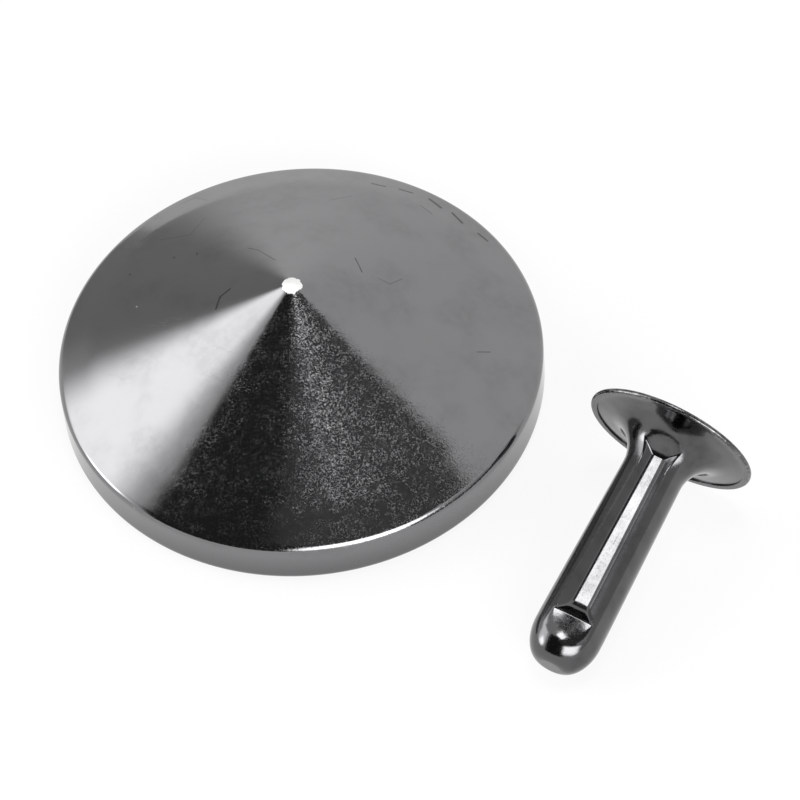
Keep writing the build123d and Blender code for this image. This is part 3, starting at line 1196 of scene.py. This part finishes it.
@dataclass(frozen=True)
class Card:
    """A light or dark card that stands round the table, as the metal sees it.

    It faces the table from an azimuth and an elevation in degrees, is turned about its own middle,
    and its half sizes and soft border are in degrees too.
    """

    name: str
    azimuth: float
    elevation: float
    half_width: float
    half_height: float
    soft: float
    level: float
    turn: float = 0.0

    def ways(self) -> tuple[np.ndarray, np.ndarray, np.ndarray]:
        """Where the card stands and how it is turned.

        Returns:
            The way to its middle, the way of its width and the way of its height.
        """
        azimuth, elevation, turn = (radians(v) for v in (self.azimuth, self.elevation, self.turn))
        middle = np.array([cos(azimuth) * cos(elevation), sin(azimuth) * cos(elevation), sin(elevation)])
        level = np.array([-sin(azimuth), cos(azimuth), 0.0])
        upward = np.cross(middle, level)
        return middle, level * cos(turn) + upward * sin(turn), upward * cos(turn) - level * sin(turn)


@dataclass
class Studio:
    """The floor, the light and the camera."""

    target: tuple[float, float, float] = (4.869 * MM, -1.698 * MM, 0.0)
    distance: float = 250 * MM
    elevation: float = 52.57
    roll: float = -5.56
    focal_pixels: float = 4845.8
    surround: float = 1.0
    cards: tuple[Card, ...] = (
        Card("shaded corner", 118, 22, 17, 26, 8, 0.45),
        Card("dim right", 338, 12, 26, 22, 8, 0.62),
        Card("dark side", 231, 32, 31, 52, 4, 0.04),
        Card("dark ceiling", 270, 70.5, 34, 23, 2.5, 0.04),
        Card("dim ceiling", 312, 67, 22, 19, 2.5, 0.13),
        Card("dark back ceiling", 61, 60, 9, 14, 3, 0.06),
        Card("front light", 288, 22, 23, 18, 8, 7.5, turn=-22),
        Card("side light", 166, 25, 16, 27, 8, 3.7, turn=32),
        Card("side core", 179, 11, 8, 8, 4, 8.0),
        Card("top light", 33, 84.5, 8, 8, 3, 9.0),
    )
    floor_half: float = 3.0
    floor_colour: float = 0.86
    floor_glow: float = 0.86

    def place_camera(self) -> None:
        """A long lens at the photo's angle.

        focal length = focal_pixels / image side * sensor width
        """
        lens = bpy.data.cameras.new("camera")
        lens.lens = self.focal_pixels / PHOTO_SIDE * lens.sensor_width
        camera = bpy.data.objects.new("camera", lens)
        bpy.context.scene.collection.objects.link(camera)
        rise, roll = radians(self.elevation), radians(self.roll)
        forward = np.array([0.0, cos(rise), -sin(rise)])
        level = np.array([1.0, 0.0, 0.0])
        upward = np.cross(level, forward)
        right = level * cos(roll) + upward * sin(roll)
        above = upward * cos(roll) - level * sin(roll)
        place = np.array(self.target) - forward * self.distance
        camera.matrix_world = Matrix([[*row] for row in np.stack([right, above, -forward, place], axis=1)]
                                     + [[0, 0, 0, 1]])
        bpy.context.scene.camera = camera

    def lay_floor(self) -> None:
        """A pale plane that both halves rest on, which the camera and the metal see nearly white."""
        half = self.floor_half
        mesh = bpy.data.meshes.new("floor")
        corners = [(-half, -half, 0), (half, -half, 0), (half, half, 0), (-half, half, 0)]
        mesh.from_pydata(corners, [], [(0, 1, 2, 3)])
        floor = bpy.data.objects.new("floor", mesh)
        bpy.context.scene.collection.objects.link(floor)
        material = bpy.data.materials.new("floor")
        material.use_nodes = True
        bench = Bench(material.node_tree)
        matt = material.node_tree.nodes["Principled BSDF"]
        pale = self.floor_colour
        matt.inputs["Base Color"].default_value = (pale, pale, pale, 1)
        matt.inputs["Roughness"].default_value = 0.9
        matt.inputs["Specular IOR Level"].default_value = 0.0
        seen = bench.add("ShaderNodeLightPath").outputs
        plain = bench.plus(seen["Is Camera Ray"], seen["Is Glossy Ray"], seen["Is Transmission Ray"])
        share = bench.times(bench.maths("MINIMUM", plain, 1.0), self.floor_glow)
        white = bench.add("ShaderNodeEmission", {"Color": (1, 1, 1, 1), "Strength": 1.0}).outputs[0]
        shown = bench.add("ShaderNodeMixShader", {0: share, 1: matt.outputs[0], 2: white}).outputs[0]
        bench.join(material.node_tree.nodes["Material Output"].inputs["Surface"], shown)
        mesh.materials.append(material)

    def card_effect(self) -> Effect:
        """The share of a card in a direction.

        With the direction divided by its part towards the card's middle, its parts along the width
        and the height are tangents, which are compared with those of the card's half sizes.

        Returns:
            The group, which gives 1 on the card.
        """
        sockets = {"Direction": ORIGIN, "Middle": ORIGIN, "Across": ORIGIN, "Upward": ORIGIN,
                   "Half Width": 0.5, "Half Height": 0.5, "Soft": 0.1}
        effect = Effect("card", sockets)
        bench, given = effect.bench, effect.given
        facing = bench.measure("DOT_PRODUCT", given["Direction"], given["Middle"])
        held = bench.most(facing, 0.02)
        share = bench.rise(facing, 0.02, 0.1)
        for way, size in (("Across", "Half Width"), ("Upward", "Half Height")):
            along = bench.measure("DOT_PRODUCT", given["Direction"], given[way])
            along = bench.maths("ABSOLUTE", bench.maths("DIVIDE", along, held))
            inner = bench.minus(given[size], given["Soft"])
            outer = bench.plus(given[size], given["Soft"])
            share = bench.times(share, bench.rise(along, outer, inner))
        return effect.result(Mask=share)

    def light(self) -> None:
        """A white surround with the cards laid over it one after another.

        Metal and the floor see the same white as the camera, and the cards on it.
        """
        world = bpy.data.worlds.new("studio")
        bpy.context.scene.world = world
        world.use_nodes = True
        bench = Bench(world.node_tree)
        direction = bench.add("ShaderNodeTexCoord").outputs["Generated"]
        effect = self.card_effect()
        level = self.surround
        for card in self.cards:
            middle, across, upward = (tuple(way) for way in card.ways())
            width, height, soft = (tan(radians(v)) for v in (card.half_width, card.half_height, card.soft))
            mask = effect.place(bench, {
                "Direction": direction, "Middle": middle, "Across": across, "Upward": upward,
                "Half Width": width, "Half Height": height, "Soft": soft})["Mask"]
            level = bench.plus(bench.times(bench.minus(1.0, mask), level), bench.times(mask, card.level))
        seen = bench.add("ShaderNodeLightPath").outputs
        plain = bench.most(seen["Is Camera Ray"], seen["Is Transmission Ray"])
        studio = world.node_tree.nodes["Background"]
        backdrop = bench.add("ShaderNodeBackground", {"Color": (1, 1, 1, 1), "Strength": 1.0}).outputs[0]
        bench.join(studio.inputs["Strength"], level)
        bench.join(studio.inputs["Color"], (1, 1, 1, 1))
        shown = bench.add("ShaderNodeMixShader", {0: plain, 1: studio.outputs[0], 2: backdrop}).outputs[0]
        bench.join(world.node_tree.nodes["World Output"].inputs["Surface"], shown)


def dress(piece: bpy.types.Object, material: bpy.types.Material, node: str) -> None:
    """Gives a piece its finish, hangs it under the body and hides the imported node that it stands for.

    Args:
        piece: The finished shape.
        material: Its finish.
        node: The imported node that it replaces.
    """
    piece.data.materials.append(material)
    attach(piece, BODY)
    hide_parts(node)
    LOG.info("%s: %d faces", piece.name, len(piece.data.polygons))


def main() -> None:
    """Builds each piece in order, then the studio."""
    logging.basicConfig(level=logging.INFO)
    bpy.context.scene.view_settings.view_transform = "Standard"
    effects = Effects()
    cap = ConeCap()
    post = Post()
    # The cap's finish paints shade that darkens its skirt towards the foot, and a white painted highlight
    # on its point.
    cap_finish = Plating(
        "cap plating", (0.22, 0.22, 0.225), 0.07, Lay.HANDLED, grain_height=5.0, speck_dullness=0.30,
        unscuffed=0.10, film_and_shade_tone=0.62, foot_shade_height=2.6, painted_foot_shade=1.0, nicks=cap.nicks(),
        highlight_spot_middle=(0.0, 0.0, 8.24), highlight_spot_radius=0.51)
    back_finish = Plating("back plating", (0.20, 0.20, 0.205), 0.30, Lay.TURNED, line_amount=0.8)
    stem_finish = Plating(
        "stem plating", (0.12, 0.12, 0.123), 0.10, Lay.DRAWN, grain_height=2.0, speck_dullness=0.1,
        film_amount=1.0, film_and_shade_tone=0.70)
    head_finish = Plating(
        "head plating", (0.12, 0.12, 0.123), 0.12, Lay.HANDLED, grain_height=3.0, film_amount=1.0,
        film_and_shade_tone=0.70, wear_amount=0.25, wear_colour=(0.3, 0.3, 0.3))
    dress(cap.build_shell(), cap_finish.material(effects), "cap_shell")
    dress(BackPlate().build(cap), back_finish.material(effects), "cap_back_plate")
    dress(post.build_stem(), stem_finish.material(effects), "post_stem")
    dress(post.build_head(), head_finish.material(effects), "post_head_cap")
    studio = Studio()
    studio.place_camera()
    studio.lay_floor()
    studio.light()


if __name__ == "__main__":
    main()
